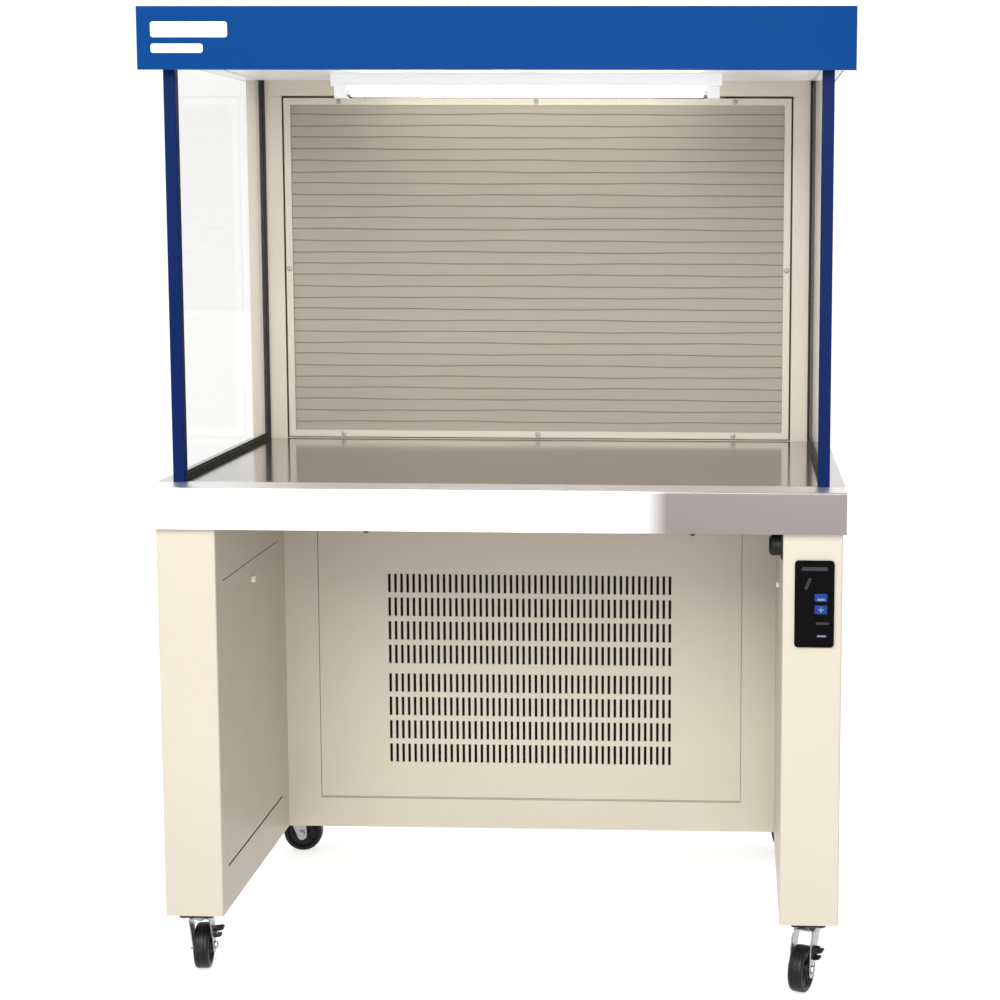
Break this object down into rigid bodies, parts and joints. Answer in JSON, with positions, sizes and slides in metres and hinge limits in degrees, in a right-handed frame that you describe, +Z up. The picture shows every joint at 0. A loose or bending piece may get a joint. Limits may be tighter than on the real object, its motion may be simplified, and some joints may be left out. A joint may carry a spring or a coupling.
{
  "type": "laminar flow clean bench",
  "caption": "Horizontal laminar-flow clean bench on casters: open-front chamber with glass sides, rear filter wall, steel worktop and fan box below.",
  "frame": {"origin": "on the floor under the middle of the bounding box", "axes": "+X to the user's right, +Y to the back, +Z up; the open front faces -Y"},
  "size_m": [1.123, 0.812, 1.606],
  "materials": {
    "casing_cream": "cream epoxy powder coat",
    "canopy_blue": "blue epoxy powder coat",
    "post_navy": "dark blue epoxy powder coat",
    "white_paint": "white epoxy powder coat",
    "stainless": "fine brushed stainless",
    "zinc_steel": "bright zinc plate",
    "plate_black": "dark phosphate",
    "wheel_rubber": "grey-black solid tyre",
    "side_glass": "clear float glass",
    "gasket_rubber": "black extruded gasket",
    "guard_mesh_paint": "perforated sheet, beige coat",
    "filter_frame_metal": "extruded frame",
    "filter_paper": "pleated glass-fibre paper",
    "prefilter_wool": "dark grey coarse filter mat",
    "motor_grey": "grey motor paint",
    "rotor_metal": "galvanised sheet",
    "lamp_glass": "white coated tube",
    "lampholder_white": "white moulded plastic",
    "control_black": "black moulded fascia",
    "key_blue": "blue membrane key",
    "board_green": "printed circuit board",
    "hood_black": "black moulded plastic",
    "knob_cream": "cream moulded knob",
    "knob_black": "black moulded knob"
  },
  "bodies": {
    "cabinet": {"blower_casing": "zinc_steel", "blower_motor": "motor_grey", "cable_hood": "hood_black", "canopy_cap": "white_paint", "canopy_skirt": "canopy_blue", "caster_bolts": "zinc_steel", "caster_plates": "plate_black", "ceiling_sheet": "white_paint", "control_board": "board_green", "control_panel": "control_black", "fan_box_back_cover": "casing_cream", "fan_box_shell": "casing_cream", "filter_frame": "filter_frame_metal", "filter_media": "filter_paper", "glass_gaskets": "gasket_rubber", "guard_frame": "casing_cream", "guard_mesh": "guard_mesh_paint", "guard_screws": "zinc_steel", "lamp_holders": "lampholder_white", "lamp_housing": "white_paint", "lamp_tube": "lamp_glass", "mains_inlet": "hood_black", "pedestal_left": "casing_cream", "pedestal_right": "casing_cream", "plenum_back_cover": "casing_cream", "plenum_shell": "casing_cream", "post_left": "post_navy", "post_right": "post_navy", "prefilter_frame": "filter_frame_metal", "prefilter_media": "prefilter_wool", "prefilter_shelf": "casing_cream", "side_glass_left": "side_glass", "side_glass_right": "side_glass", "supply_duct": "zinc_steel", "worktop_pan": "stainless", "worktop_underside": "zinc_steel"},
    "fork_front_left": {"caster_fork_front_left": "zinc_steel", "caster_axle_front_left": "zinc_steel"},
    "wheel_front_left": {"caster_wheel_front_left": "wheel_rubber"},
    "brake_front_left": {"brake_lever_front_left": "plate_black"},
    "fork_front_right": {"caster_fork_front_right": "zinc_steel", "caster_axle_front_right": "zinc_steel"},
    "wheel_front_right": {"caster_wheel_front_right": "wheel_rubber"},
    "brake_front_right": {"brake_lever_front_right": "plate_black"},
    "fork_rear_left": {"caster_fork_rear_left": "zinc_steel", "caster_axle_rear_left": "zinc_steel"},
    "wheel_rear_left": {"caster_wheel_rear_left": "wheel_rubber"},
    "fork_rear_right": {"caster_fork_rear_right": "zinc_steel", "caster_axle_rear_right": "zinc_steel"},
    "wheel_rear_right": {"caster_wheel_rear_right": "wheel_rubber"},
    "cover_left": {"service_cover_left": "casing_cream"},
    "cover_key_left": {"cover_lock_left": "knob_cream"},
    "cover_right": {"service_cover_right": "casing_cream"},
    "cover_key_right": {"cover_lock_right": "knob_cream"},
    "front_panel": {"grille_panel": "casing_cream"},
    "panel_key_left": {"panel_lock_left": "knob_black"},
    "panel_key_right": {"panel_lock_right": "knob_black"},
    "fan_key_body": {"fan_key": "key_blue"},
    "light_key_body": {"light_key": "key_blue"},
    "blower_rotor": {"blower_wheel": "rotor_metal"}
  },
  "joints": [
    {"name": "swivel_front_left", "type": "hinge", "parent": "cabinet", "child": "fork_front_left", "pos_m": [-0.5025, -0.33997, 0.1], "axis": [0, 0, 1], "continuous": true},
    {"name": "roll_front_left", "type": "hinge", "parent": "fork_front_left", "child": "wheel_front_left", "pos_m": [-0.50564, -0.31013, 0.0375], "axis": [0.9945, 0.1045, 0], "continuous": true},
    {"name": "brake_press_front_left", "type": "hinge", "parent": "fork_front_left", "child": "brake_front_left", "pos_m": [-0.48526, -0.32609, 0.066], "axis": [-0.9945, -0.1045, 0], "range_deg": [0, 18]},
    {"name": "swivel_front_right", "type": "hinge", "parent": "cabinet", "child": "fork_front_right", "pos_m": [0.5025, -0.33997, 0.1], "axis": [0, 0, 1], "continuous": true},
    {"name": "roll_front_right", "type": "hinge", "parent": "fork_front_right", "child": "wheel_front_right", "pos_m": [0.49175, -0.36798, 0.0375], "axis": [-0.9336, 0.3584, 0], "continuous": true},
    {"name": "brake_press_front_right", "type": "hinge", "parent": "fork_front_right", "child": "brake_front_right", "pos_m": [0.51556, -0.35784, 0.066], "axis": [0.9336, -0.3584, 0], "range_deg": [0, 18]},
    {"name": "swivel_rear_left", "type": "hinge", "parent": "cabinet", "child": "fork_rear_left", "pos_m": [-0.5025, 0.28803, 0.1], "axis": [0, 0, 1], "continuous": true},
    {"name": "roll_rear_left", "type": "hinge", "parent": "fork_rear_left", "child": "wheel_rear_left", "pos_m": [-0.4725, 0.28803, 0.0375], "axis": [0, -1, 0], "continuous": true},
    {"name": "swivel_rear_right", "type": "hinge", "parent": "cabinet", "child": "fork_rear_right", "pos_m": [0.5025, 0.28803, 0.1], "axis": [0, 0, 1], "continuous": true},
    {"name": "roll_rear_right", "type": "hinge", "parent": "fork_rear_right", "child": "wheel_rear_right", "pos_m": [0.48529, 0.31261, 0.0375], "axis": [0.8192, 0.5736, 0], "continuous": true},
    {"name": "cover_tilt_left", "type": "hinge", "parent": "cabinet", "child": "cover_left", "pos_m": [-0.455, -0.14147, 0.185], "axis": [0, 1, 0], "range_deg": [0, 25]},
    {"name": "cover_lock_turn_left", "type": "hinge", "parent": "cover_left", "child": "cover_key_left", "pos_m": [-0.455, -0.14147, 0.628], "axis": [1, 0, 0], "range_deg": [0, 90]},
    {"name": "cover_tilt_right", "type": "hinge", "parent": "cabinet", "child": "cover_right", "pos_m": [0.455, -0.14147, 0.185], "axis": [0, -1, 0], "range_deg": [0, 25]},
    {"name": "cover_lock_turn_right", "type": "hinge", "parent": "cover_right", "child": "cover_key_right", "pos_m": [0.455, -0.14147, 0.628], "axis": [1, 0, 0], "range_deg": [0, 90]},
    {"name": "panel_tilt", "type": "hinge", "parent": "cabinet", "child": "front_panel", "pos_m": [0, 0.09603, 0.17], "axis": [1, 0, 0], "range_deg": [0, 80]},
    {"name": "panel_lock_turn_left", "type": "hinge", "parent": "front_panel", "child": "panel_key_left", "pos_m": [-0.301, 0.09603, 0.676], "axis": [0, -1, 0], "range_deg": [0, 90]},
    {"name": "panel_lock_turn_right", "type": "hinge", "parent": "front_panel", "child": "panel_key_right", "pos_m": [0.301, 0.09603, 0.676], "axis": [0, -1, 0], "range_deg": [0, 90]},
    {"name": "fan_key_press", "type": "slide", "parent": "cabinet", "child": "fan_key_body", "axis": [0, 1, 0], "range_m": [0, 0.0008], "stiffness_N_per_m": 800, "springref_m": -0.0005},
    {"name": "light_key_press", "type": "slide", "parent": "cabinet", "child": "light_key_body", "axis": [0, 1, 0], "range_m": [0, 0.0008], "stiffness_N_per_m": 800, "springref_m": -0.0005},
    {"name": "blower_spin", "type": "hinge", "parent": "cabinet", "child": "blower_rotor", "pos_m": [0, 0.28403, 0.4], "axis": [1, 0, 0], "continuous": true}
  ]
}
